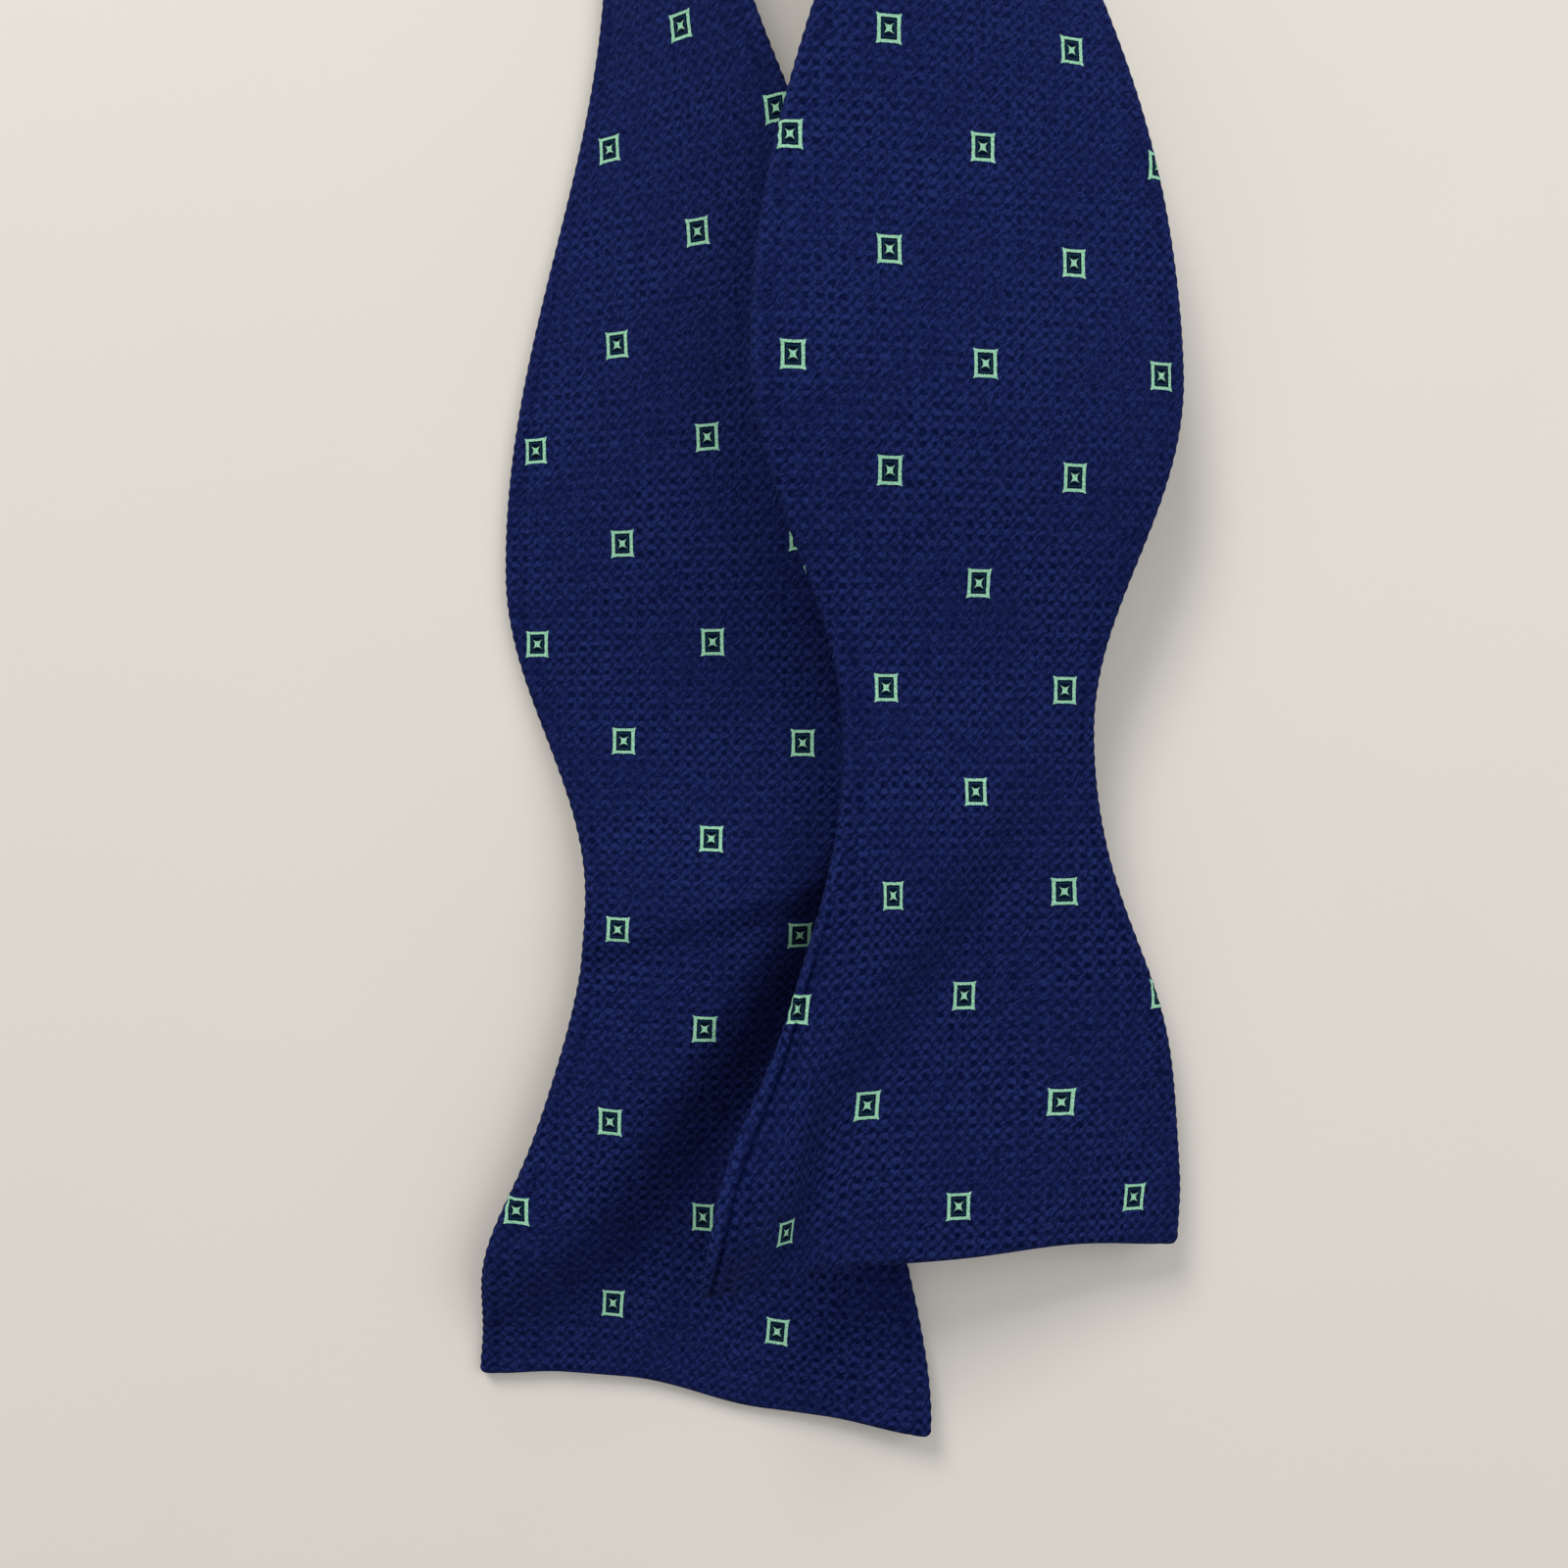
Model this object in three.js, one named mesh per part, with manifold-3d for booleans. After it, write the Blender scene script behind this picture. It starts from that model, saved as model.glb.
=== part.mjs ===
// A self-tie bow tie laid open: two butterfly blades, side by side and partly overlapping, joined by a
// neckband that stands on edge in a loop. The loop's top run lies along X and carries the metal hardware:
// a size adjuster, a hook and an eye. Millimetres, +Z up. The blades' square ends point along -Y.
import * as THREE from 'three';
import { mergeVertices } from 'three/addons/utils/BufferGeometryUtils.js';
import Module from 'manifold-3d';

const DEG = Math.PI / 180;

// Outline of a blade: half widths, and how far from the square end each one falls.
const END_HALF = 32;
const WAIST_HALF = 17.8;
const BULGE_HALF = 29.5;
const BAND_HALF = 9.5;
const WAIST_AT = 71.5;
const BULGE_AT = 118;
const BAND_AT = 216;

// Plies, from the front: face cloth, woven interlining, back cloth.
const GAP = 0.3;
const CLOTH = 0.6;
const INTERLINING = 0.8;
const HALF_STACK = CLOTH + GAP + INTERLINING / 2;
const INTERLINING_INSET = 2.5;
const STRAP_HALF = 0.8;

// The neck loop in plan.
const LOOP_TOP_Y = 257;
const LOOP_LEAN = 38.5;
const CORNER_RADIUS = 25;
const CORNER_TURN = 90 + LOOP_LEAN;

// Hardware: rails run past the strap's edges, bars cross it.
const BAR_RADIUS = 0.75;
const RAIL = 1.6;
const RAIL_GAP = 0.45;
const HARDWARE_HALF = BAND_HALF + RAIL_GAP + RAIL;
const HARDWARE_CLEARANCE = 0.05;
const EDGE_RISE = HARDWARE_HALF - BAND_HALF + HARDWARE_CLEARANCE;
const BAND_HEIGHT = EDGE_RISE + BAND_HALF;
const RETURN_Y = -3.6;
const HOOK_Y = RETURN_Y / 2;
const HOOK_PLATE_HALF = 0.7;
const SLIDE_X = 34;
const SLIDE_HALF_LENGTH = 4.5;
const RAIL_OVERHANG = 0.15;
const BAR_SETBACK = 0.4;
const HOOK_X = -6;
const HOOK_FRAME = 7.2;
const HOOK_CROSSBAR = 2.2;
const TONGUE_OVERLAP = 0.6;
const HOOK_REACH = 13.5;
const HOOK_LIP = 3;
const HOOK_HEIGHT = 7;
const EYE_X = HOOK_X - HOOK_REACH;
const EYE_LENGTH = 8;
const HEM_TAIL = 12;
const HEM_NECK = 2.4;
const HEM_WRAP = 130 * DEG;
const FOLD_LEG = 4;

// The blank label on the back of the left band, v from and to.
const LABEL_FROM = 296;
const LABEL_TO = 326;
const LABEL_THICKNESS = 0.4;
const LABEL_INSET = 2.5;

// A level top run past the corner, longer than any piece laid on it, and the grid that plies are made on.
const TOP_RUN = 120;
const STEP = 6;
const ACROSS = 4;
const ROUND_SIDES = 16;

const NAVY = 0x16214b;
const CANVAS = 0xd8d2c2;
const NICKEL = 0xc4c6c8;
const LABEL = 0x1b2440;

const wasm = await Module();
wasm.setup();

// A smooth curve through [place, value] pairs. It is level at both ends, and straight between equal values.
function smooth(points, at) {
  const last = points.length - 1;
  const x = THREE.MathUtils.clamp(at, points[0][0], points[last][0]);
  let i = 0;
  while (i < last - 1 && x > points[i + 1][0]) {
    i += 1;
  }
  const slope = (k) => {
    const before = points[Math.max(k - 1, 0)];
    const after = points[Math.min(k + 1, last)];
    const level = before[1] === points[k][1] || after[1] === points[k][1];
    return level ? 0 : (after[1] - before[1]) / (after[0] - before[0]);
  };
  const span = points[i + 1][0] - points[i][0];
  const t = (x - points[i][0]) / span;
  const rise = points[i + 1][1] - points[i][1];
  const ease = t * t * (3 - 2 * t);
  return points[i][1] + rise * ease + span * t * (1 - t) * ((1 - t) * slope(i) - t * slope(i + 1));
}

function halfWidth(v) {
  const ease = (a, b, t) => a + (b - a) * (1 - Math.cos(Math.PI * Math.min(t, 1))) / 2;
  if (v < WAIST_AT) {
    return ease(END_HALF, WAIST_HALF, v / WAIST_AT);
  }
  if (v < BULGE_AT) {
    return ease(WAIST_HALF, BULGE_HALF, (v - WAIST_AT) / (BULGE_AT - WAIST_AT));
  }
  return ease(BULGE_HALF, BAND_HALF, (v - BULGE_AT) / (BAND_AT - BULGE_AT));
}

// Where a strand's centre line is in plan, v along it from the square end. It is made of stretches
// [length, turn], each straight or evenly curved; angles are in degrees, clockwise from +Y.
function walk(start, heading, stretches, v) {
  let [x, y] = start;
  let angle = heading * DEG;
  let left = v;
  for (const [length, turn] of stretches) {
    const part = Math.min(left, length);
    const turned = turn * DEG * part / length;
    const chord = turned === 0 ? part : 2 * part / turned * Math.sin(turned / 2);
    x += chord * Math.sin(angle + turned / 2);
    y += chord * Math.cos(angle + turned / 2);
    angle += turned;
    left -= part;
  }
  return { x, y, angle };
}

// A strand goes up the blade, leans outward, runs straight, rounds a corner and ends on the top run.
// side is 1 for the right strand and -1 for the left, and roll stands it up on its outer edge.
function makeStrand({ side, start, heading, blade, flare, roll, lift }) {
  const opening = [blade, [flare, side * LOOP_LEAN - heading - blade[1]]];
  const before = walk(start, heading, opening, blade[0] + flare);
  const cornerRise = CORNER_RADIUS * (1 + Math.sin(LOOP_LEAN * DEG));
  const leg = (LOOP_TOP_Y - before.y - cornerRise) / Math.cos(LOOP_LEAN * DEG);
  const corner = CORNER_RADIUS * CORNER_TURN * DEG;
  const stretches = [...opening, [leg, 0], [corner, -side * CORNER_TURN], [TOP_RUN, 0]];
  const runStart = blade[0] + flare + leg + corner;
  const plan = (v) => walk(start, heading, stretches, v);
  return { side, roll, lift, plan, runStart, runX: plan(runStart).x };
}

// The point of a strand at s across, v along and t out of its front.
function lay(strand, s, v, t) {
  const { x, y, angle } = strand.plan(v);
  const roll = smooth(strand.roll, v) * DEG;
  const centre = smooth(strand.lift, v) + HALF_STACK * Math.cos(roll) + halfWidth(v) * Math.sin(roll);
  const out = s * Math.cos(roll) + strand.side * t * Math.sin(roll);
  const up = t * Math.cos(roll) - strand.side * s * Math.sin(roll);
  return new THREE.Vector3(x + out * Math.cos(angle), y - out * Math.sin(angle), centre + up);
}

const right = makeStrand({
  side: 1,
  start: [24, -63.8],
  heading: 1,
  blade: [190, -2.5],
  flare: 50,
  roll: [[0, 12], [70, 13], [120, 13], [170, 18], [210, 40], [270, 90]],
  lift: [[0, 4], [70, 9], [120, 11], [170, 10.5], [210, 5], [270, EDGE_RISE]],
});

const left = makeStrand({
  side: -1,
  start: [-13, -87.8],
  heading: 4.5,
  blade: [220, -11.8],
  flare: 44,
  roll: [[0, 0], [75, 0], [120, 11], [165, 19], [210, 40], [270, 90]],
  lift: [[0, 0], [270, 0], [320, EDGE_RISE]],
});

function closed(geometry) {
  const bare = geometry.clone();
  bare.deleteAttribute('normal');
  bare.deleteAttribute('uv');
  const merged = mergeVertices(bare, 1e-4);
  merged.computeVertexNormals();
  return merged;
}

// One layer of a strand from v = from to v = to, between the heights low and high of the stack. The
// layers share their stations along the strand, so they stay parallel round its bends.
function ply(strand, from, to, low, high, inset = 0, startInset = 0) {
  const along = Math.ceil((to - from) / STEP);
  const geometry = new THREE.BoxGeometry(2, to - from, high - low, ACROSS, along, 1);
  const position = geometry.attributes.position;
  for (let i = 0; i < position.count; i += 1) {
    const v = Math.max((from + to) / 2 + position.getY(i), from + startInset);
    const s = position.getX(i) * (halfWidth(v) - inset);
    const t = (low + high) / 2 + position.getZ(i);
    const point = lay(strand, s, v, t);
    position.setXYZ(i, point.x, point.y, point.z);
  }
  return closed(geometry);
}

function toSolid(geometry) {
  const merged = closed(geometry);
  return new wasm.Manifold(new wasm.Mesh({
    numProp: 3,
    vertProperties: Float32Array.from(merged.attributes.position.array),
    triVerts: Uint32Array.from(merged.index.array),
  }));
}

function joined(geometries) {
  const solids = geometries.map(toSolid);
  const mesh = solids.reduce((sum, next) => sum.add(next)).getMesh();
  const geometry = new THREE.BufferGeometry();
  geometry.setAttribute('position', new THREE.BufferAttribute(mesh.vertProperties, 3));
  geometry.setIndex(new THREE.BufferAttribute(mesh.triVerts, 1));
  geometry.computeVertexNormals();
  return geometry;
}

function box(x0, x1, y0, y1, z0, z1) {
  const geometry = new THREE.BoxGeometry(x1 - x0, y1 - y0, z1 - z0);
  return geometry.translate((x0 + x1) / 2, (y0 + y1) / 2, (z0 + z1) / 2);
}

// An upright bar at (x, y), and a level one at height z between x0 and x1.
function upright(x, y, radius, half) {
  const geometry = new THREE.CylinderGeometry(radius, radius, 2 * half, ROUND_SIDES);
  return geometry.rotateX(Math.PI / 2).translate(x, y, 0);
}

function level(x0, x1, y, z, radius) {
  const geometry = new THREE.CylinderGeometry(radius, radius, x1 - x0, ROUND_SIDES);
  return geometry.rotateZ(Math.PI / 2).translate((x0 + x1) / 2, y, z);
}

// A flat outline in plan, given a height in Z and centred on the strap.
function tall(shape, half) {
  const geometry = new THREE.ExtrudeGeometry(shape, { depth: 2 * half, bevelEnabled: false, curveSegments: 8 });
  return geometry.translate(0, 0, -half);
}

// Tri-glide: two bars outside the strap, one inside it for the sewn end, and a rail past each edge.
function adjusterSlide() {
  const yOut = STRAP_HALF + RAIL_GAP + BAR_RADIUS;
  const xOut = SLIDE_HALF_LENGTH - BAR_RADIUS - RAIL_OVERHANG;
  const half = HARDWARE_HALF - BAR_SETBACK;
  const parts = [
    upright(-xOut, yOut, BAR_RADIUS, half),
    upright(xOut, yOut, BAR_RADIUS, half),
    upright(0, RETURN_Y, BAR_RADIUS, half),
  ];
  const low = RETURN_Y - BAR_RADIUS - RAIL_OVERHANG;
  const high = yOut + BAR_RADIUS + RAIL_OVERHANG;
  for (const sign of [-1, 1]) {
    const inner = sign * (HARDWARE_HALF - RAIL);
    const outer = sign * HARDWARE_HALF;
    const rail = [Math.min(inner, outer), Math.max(inner, outer)];
    parts.push(box(-SLIDE_HALF_LENGTH, SLIDE_HALF_LENGTH, low, high, ...rail));
  }
  return joined(parts);
}

// The strap's end sewn back round a bar, with its tail towards -X, centred on the bar.
function hem(tail) {
  const inner = BAR_RADIUS + GAP;
  const outer = inner + STRAP_HALF;
  const neck = -outer * HEM_NECK;
  const shape = new THREE.Shape();
  shape.moveTo(-tail, STRAP_HALF);
  shape.lineTo(-tail, -STRAP_HALF);
  shape.lineTo(neck, -STRAP_HALF);
  shape.absarc(0, 0, outer, -HEM_WRAP, HEM_WRAP, false);
  shape.lineTo(neck, STRAP_HALF);
  const hole = new THREE.Path();
  hole.absarc(0, 0, inner, 0, 2 * Math.PI, true);
  shape.holes.push(hole);
  return closed(tall(shape, BAND_HALF));
}

// The strap where it turns back round the hook's bar: a U open towards +X.
function strapFold() {
  const inner = -HOOK_Y - STRAP_HALF;
  const outer = inner + 2 * STRAP_HALF;
  const shape = new THREE.Shape();
  shape.moveTo(FOLD_LEG, outer);
  shape.absarc(0, 0, outer, Math.PI / 2, 3 * Math.PI / 2, false);
  shape.lineTo(FOLD_LEG, -outer);
  shape.lineTo(FOLD_LEG, -inner);
  shape.absarc(0, 0, inner, 3 * Math.PI / 2, Math.PI / 2, true);
  shape.lineTo(FOLD_LEG, inner);
  return closed(tall(shape, BAND_HALF));
}

// Frame with the strap's bar at x = 0, and a tongue that curls round the eye's bar.
function hookPiece() {
  const plate = HOOK_PLATE_HALF;
  const curl = -HOOK_Y;
  const parts = [upright(0, HOOK_Y, plate, HARDWARE_HALF - BAR_SETBACK)];
  for (const sign of [-1, 1]) {
    const inner = sign * (HARDWARE_HALF - RAIL);
    const outer = sign * HARDWARE_HALF;
    const rail = [Math.min(inner, outer), Math.max(inner, outer)];
    parts.push(box(-HOOK_FRAME, plate + RAIL_OVERHANG, HOOK_Y - plate, HOOK_Y + plate, ...rail));
  }
  const back = HOOK_FRAME - HOOK_CROSSBAR;
  const cross = HARDWARE_HALF - BAR_SETBACK;
  parts.push(box(-HOOK_FRAME, -back, HOOK_Y - plate, HOOK_Y + plate, -cross, cross));
  const root = -back - TONGUE_OVERLAP;
  const shape = new THREE.Shape();
  shape.moveTo(root, -curl - plate);
  shape.lineTo(root, -curl + plate);
  shape.lineTo(-HOOK_REACH, -curl + plate);
  shape.absarc(-HOOK_REACH, 0, curl - plate, -Math.PI / 2, -3 * Math.PI / 2, true);
  shape.lineTo(-HOOK_REACH + HOOK_LIP, curl - plate);
  shape.lineTo(-HOOK_REACH + HOOK_LIP, curl + plate);
  shape.lineTo(-HOOK_REACH, curl + plate);
  shape.absarc(-HOOK_REACH, 0, curl + plate, Math.PI / 2, 3 * Math.PI / 2, false);
  parts.push(tall(shape, HOOK_HEIGHT / 2));
  return joined(parts);
}

// A wire rectangle: one upright in the hook's curl, the other holding the strap.
function eyePiece() {
  const half = HARDWARE_HALF - BAR_RADIUS - HARDWARE_CLEARANCE;
  const parts = [];
  for (const x of [0, -EYE_LENGTH]) {
    parts.push(upright(x, 0, BAR_RADIUS, half));
    for (const z of [-half, half]) {
      parts.push(new THREE.SphereGeometry(BAR_RADIUS, ROUND_SIDES, ROUND_SIDES / 2).translate(x, 0, z));
    }
  }
  for (const z of [-half, half]) {
    parts.push(level(-EYE_LENGTH, 0, 0, z, BAR_RADIUS));
  }
  return joined(parts);
}

const bowTie = new THREE.Group();

function add(name, geometry, color, options = {}) {
  const { roughness = 0.9, metalness = 0, x = 0, y = 0, z = 0 } = options;
  const mesh = new THREE.Mesh(geometry, new THREE.MeshStandardMaterial({ color, roughness, metalness }));
  mesh.name = name;
  mesh.position.set(x, y, z);
  bowTie.add(mesh);
}

// The three plies of one stretch of a strand.
function addPlies(prefix, strand, from, to) {
  const inside = INTERLINING / 2;
  add(`${prefix}_face`, ply(strand, from, to, inside + GAP, HALF_STACK), NAVY);
  const startInset = from === 0 ? INTERLINING_INSET : 0;
  const canvas = ply(strand, from, to, -inside, inside, INTERLINING_INSET, startInset);
  add(`${prefix}_interlining`, canvas, CANVAS);
  add(`${prefix}_back`, ply(strand, from, to, -HALF_STACK, -inside - GAP), NAVY);
}

const metal = { roughness: 0.28, metalness: 1, y: LOOP_TOP_Y, z: BAND_HEIGHT };
const leftEnd = left.runStart + EYE_X - EYE_LENGTH - HEM_TAIL - GAP - left.runX;
const outerRunEnd = right.runStart + right.runX - (HOOK_X + FOLD_LEG + GAP);

// The right half, parted at the waist where the blade folds, and its strap up to the hook.
addPlies('right_tip', right, 0, WAIST_AT - GAP / 2);
addPlies('right', right, WAIST_AT + GAP / 2, right.runStart);
add('strap_outer_run', ply(right, right.runStart + GAP, outerRunEnd, -STRAP_HALF, STRAP_HALF), NAVY);

// The adjuster, and the strap's end sewn to its inner bar.
add('adjuster_slide', adjusterSlide(), NICKEL, { ...metal, x: SLIDE_X });
add('slide_hem', hem(HEM_TAIL), NAVY, { x: SLIDE_X, y: LOOP_TOP_Y + RETURN_Y, z: BAND_HEIGHT });
const returnRun = [HOOK_X + FOLD_LEG + GAP, SLIDE_X - HEM_TAIL - GAP];
const returnBox = box(...returnRun, -STRAP_HALF, STRAP_HALF, -BAND_HALF, BAND_HALF);
add('strap_return_run', closed(returnBox), NAVY, { y: LOOP_TOP_Y + RETURN_Y, z: BAND_HEIGHT });

// The hook, and the strap folded round its bar.
add('hook', hookPiece(), NICKEL, { ...metal, x: HOOK_X });
add('strap_fold', strapFold(), NAVY, { x: HOOK_X, y: LOOP_TOP_Y + HOOK_Y, z: BAND_HEIGHT });

// The left half, its eye and a blank label on the back of the neckband.
add('eye', eyePiece(), NICKEL, { ...metal, x: EYE_X });
add('eye_hem', hem(HEM_TAIL), NAVY, { x: EYE_X - EYE_LENGTH, y: LOOP_TOP_Y, z: BAND_HEIGHT });
addPlies('left', left, 0, leftEnd);
const labelBack = -HALF_STACK - GAP;
const label = ply(left, LABEL_FROM, LABEL_TO, labelBack - LABEL_THICKNESS, labelBack, LABEL_INSET);
add('fibre_label', label, LABEL);

// The origin is the middle of the footprint, on the surface the tie lies on.
const bounds = new THREE.Box3().setFromObject(bowTie);
const middle = bounds.getCenter(new THREE.Vector3());
bowTie.position.set(-middle.x, -middle.y, -bounds.min.z);

export default bowTie;
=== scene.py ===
"""The looks of a self-tie bow tie that lies open: two woven blades on a neckband, and its metal hardware."""

import math

import bpy
import numpy as np
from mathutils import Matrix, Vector


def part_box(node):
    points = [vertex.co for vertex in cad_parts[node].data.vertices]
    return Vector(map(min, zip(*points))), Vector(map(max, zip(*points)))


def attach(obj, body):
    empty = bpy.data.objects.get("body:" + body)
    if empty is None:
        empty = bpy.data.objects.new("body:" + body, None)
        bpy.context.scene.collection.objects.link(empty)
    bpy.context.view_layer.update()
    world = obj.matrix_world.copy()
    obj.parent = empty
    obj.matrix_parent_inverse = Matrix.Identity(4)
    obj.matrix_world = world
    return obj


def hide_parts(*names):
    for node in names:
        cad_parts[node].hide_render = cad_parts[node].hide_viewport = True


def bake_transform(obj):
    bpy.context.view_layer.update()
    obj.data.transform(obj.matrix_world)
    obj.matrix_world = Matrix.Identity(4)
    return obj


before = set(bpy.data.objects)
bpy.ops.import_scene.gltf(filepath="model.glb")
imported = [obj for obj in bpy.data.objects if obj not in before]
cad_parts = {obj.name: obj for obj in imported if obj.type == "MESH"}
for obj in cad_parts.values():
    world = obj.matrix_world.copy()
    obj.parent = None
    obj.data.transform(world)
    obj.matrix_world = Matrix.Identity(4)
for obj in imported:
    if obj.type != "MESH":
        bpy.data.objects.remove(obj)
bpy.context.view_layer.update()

# Lengths here are in millimetres, and every mesh is made in metres.
MM = 0.001
DEG = math.pi / 180

# The blade's outline: half widths, and how far from the square end each one falls.
END_HALF = 32
WAIST_HALF = 17.8
BULGE_HALF = 29.5
BAND_HALF = 9.5
WAIST_AT = 71.5
BULGE_AT = 118
BAND_AT = 216

# Half the thickness of the stacked cloth, of the strap and of the canvas inside.
HALF_STACK = 1.3
STRAP_HALF = 0.8
CANVAS_HALF = 0.4
CANVAS_INSET = 2.5

# The neck loop in plan, and the hardware on its top run.
LOOP_TOP_Y = 257
LOOP_LEAN = 38.5
CORNER_RADIUS = 25
CORNER_TURN = 90 + LOOP_LEAN
TOP_RUN = 120
BAR_RADIUS = 0.75
RAIL = 1.6
HARDWARE_HALF = 11.55
EDGE_RISE = 2.1
BAND_HEIGHT = EDGE_RISE + BAND_HALF
RETURN_Y = -3.6
HOOK_Y = RETURN_Y / 2
SLIDE_X = 34
SLIDE_HALF_LENGTH = 4.5
HOOK_X = -6
HOOK_FRAME = 7.2
HOOK_CROSSBAR = 2.2
HOOK_REACH = 13.5
HOOK_LIP = 3
HOOK_HEIGHT = 7
HOOK_PLATE_HALF = 0.7
EYE_X = HOOK_X - HOOK_REACH
EYE_LENGTH = 8
HEM_TAIL = 12
FOLD_LEG = 4
GAP = 0.3

# The weave: a cell holds two knobs, and small squares repeat in a half drop.
CELL_U = 25 / 15
CELL_V = 27.5 / 17
MOTIF_U = 25
MOTIF_V = 27.5
SQUARE_U = 1.55
SQUARE_V = 1.8
SQUARE_LINE = 0.5
SQUARE_HORN = 0.14
STAR = 0.6
STAR_U = 0.4
STAR_V = 0.44
STAR_HORN = 0.24
THREAD_BLUR = 0.07

# The mesh: a fine step where the blades are seen, and a coarse one round the neck.
FINE_STEP = CELL_V / 4
COARSE_STEP = 1.6
FINE_END = 245


# ---------------------------------------------------------------- the strands' shape

def smooth(points, at):
    """A smooth curve through (place, value) pairs, level at both ends and straight between equal values."""
    last = len(points) - 1
    x = min(max(at, points[0][0]), points[last][0])
    i = 0
    while i < last - 1 and x > points[i + 1][0]:
        i += 1

    def slope(k):
        before, after = points[max(k - 1, 0)], points[min(k + 1, last)]
        if before[1] == points[k][1] or after[1] == points[k][1]:
            return 0
        return (after[1] - before[1]) / (after[0] - before[0])

    span = points[i + 1][0] - points[i][0]
    rise = points[i + 1][1] - points[i][1]
    t = (x - points[i][0]) / span
    ease = t * t * (3 - 2 * t)
    return points[i][1] + rise * ease + span * t * (1 - t) * ((1 - t) * slope(i) - t * slope(i + 1))


def half_width(v):
    def ease(a, b, t):
        return a + (b - a) * (1 - math.cos(math.pi * min(t, 1))) / 2

    if v < WAIST_AT:
        return ease(END_HALF, WAIST_HALF, v / WAIST_AT)
    if v < BULGE_AT:
        return ease(WAIST_HALF, BULGE_HALF, (v - WAIST_AT) / (BULGE_AT - WAIST_AT))
    return ease(BULGE_HALF, BAND_HALF, (v - BULGE_AT) / (BAND_AT - BULGE_AT))


def walk(start, heading, stretches, v):
    """Where a centre line of (length, turn) stretches is in plan at v, with its angle clockwise from +Y."""
    x, y = start
    angle = heading * DEG
    left_over = v
    for length, turn in stretches:
        part = min(left_over, length)
        turned = turn * DEG * part / length
        chord = part if turned == 0 else 2 * part / turned * math.sin(turned / 2)
        x += chord * math.sin(angle + turned / 2)
        y += chord * math.cos(angle + turned / 2)
        angle += turned
        left_over -= part
    return x, y, angle


class Strand:
    """One half of the tie: up the blade, out, straight, round a corner and along the top run."""

    def __init__(self, side, start, heading, blade, flare, roll, lift):
        self.side, self.start, self.heading = side, start, heading
        self.roll, self.lift = roll, lift
        opening = [blade, (flare, side * LOOP_LEAN - heading - blade[1])]
        before = walk(start, heading, opening, blade[0] + flare)
        rise = CORNER_RADIUS * (1 + math.sin(LOOP_LEAN * DEG))
        leg = (LOOP_TOP_Y - before[1] - rise) / math.cos(LOOP_LEAN * DEG)
        corner = CORNER_RADIUS * CORNER_TURN * DEG
        self.stretches = [*opening, (leg, 0), (corner, -side * CORNER_TURN), (TOP_RUN, 0)]
        self.run_start = blade[0] + flare + leg + corner
        self.run_x = self.plan(self.run_start)[0]

    def plan(self, v):
        return walk(self.start, self.heading, self.stretches, v)

    def lay(self, s, v, t, ahead=0):
        """Points at s across and t out of the front, both arrays, at v along, in the row frame.
        ahead moves them a little further along the strand."""
        x, y, angle = self.plan(v)
        x, y = x + ahead * math.sin(angle), y + ahead * math.cos(angle)
        roll = smooth(self.roll, v) * DEG
        centre = smooth(self.lift, v) + HALF_STACK * math.cos(roll) + half_width(v) * math.sin(roll)
        out = s * math.cos(roll) + self.side * t * math.sin(roll)
        up = t * math.cos(roll) - self.side * s * math.sin(roll)
        return np.stack([x + out * math.cos(angle), y - out * math.sin(angle), centre + up], -1) - ORIGIN


eye_low, eye_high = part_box("eye")
ORIGIN = np.array([
    EYE_X + BAR_RADIUS - eye_high.x / MM,
    LOOP_TOP_Y - (eye_low.y + eye_high.y) / 2 / MM,
    0,
])

right = Strand(
    side=1, start=(24, -63.8), heading=1, blade=(190, -2.5), flare=50,
    roll=[(0, 12), (70, 13), (120, 13), (170, 18), (210, 40), (270, 90)],
    lift=[(0, 4), (70, 9), (120, 11), (170, 10.5), (210, 5), (270, EDGE_RISE)],
)
left = Strand(
    side=-1, start=(-13, -87.8), heading=4.5, blade=(220, -11.8), flare=44,
    roll=[(0, 0), (75, 0), (120, 11), (165, 19), (210, 40), (270, 90)],
    lift=[(0, 0), (270, 0), (320, EDGE_RISE)],
)


def grow(low, high, x):
    """0 below low, 1 above high and smooth between, for arrays."""
    t = np.clip((x - low) / (high - low), 0, 1)
    return t * t * (3 - 2 * t)


def fade(low, high, v):
    """1 below low, 0 above high and smooth between, for one place along a strand."""
    return float(1 - grow(low, high, v))


def bell(x, width):
    """1 at 0, and less on both sides."""
    return np.exp(-((x / width) ** 2))


# ---------------------------------------------------------------- small bends of the cloth

# A place on a blade is (s, v): s to the right of its middle, and v up from its square end. Each bend is a
# size in millimetres, times shares that come or go between two places.

# Slanting lines on the blades, each through a place and in a direction.
RIGHT_FOLD = ((7, 63), (30, 48.3))
LEFT_SLOPE = ((10.1, 60.3), (30.8, 46.3))
LEFT_CREASE = ((-13.5, 66.5), (20.5, 5.8))

# The blades' pillowy shape fades out where they become bands.
CROWN_FADE = (200, 250)
RIGHT_CROWN = 1.1
LEFT_CROWN = 0.3
RIPPLE = 0.35
RIPPLE_LENGTH = 52


def beside(s, v, line_on_blade):
    """How far a place lies to the right of a slanting line."""
    (s0, v0), (ds, dv) = line_on_blade
    return ((s - s0) * dv - (v - v0) * ds) / math.hypot(ds, dv)


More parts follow.
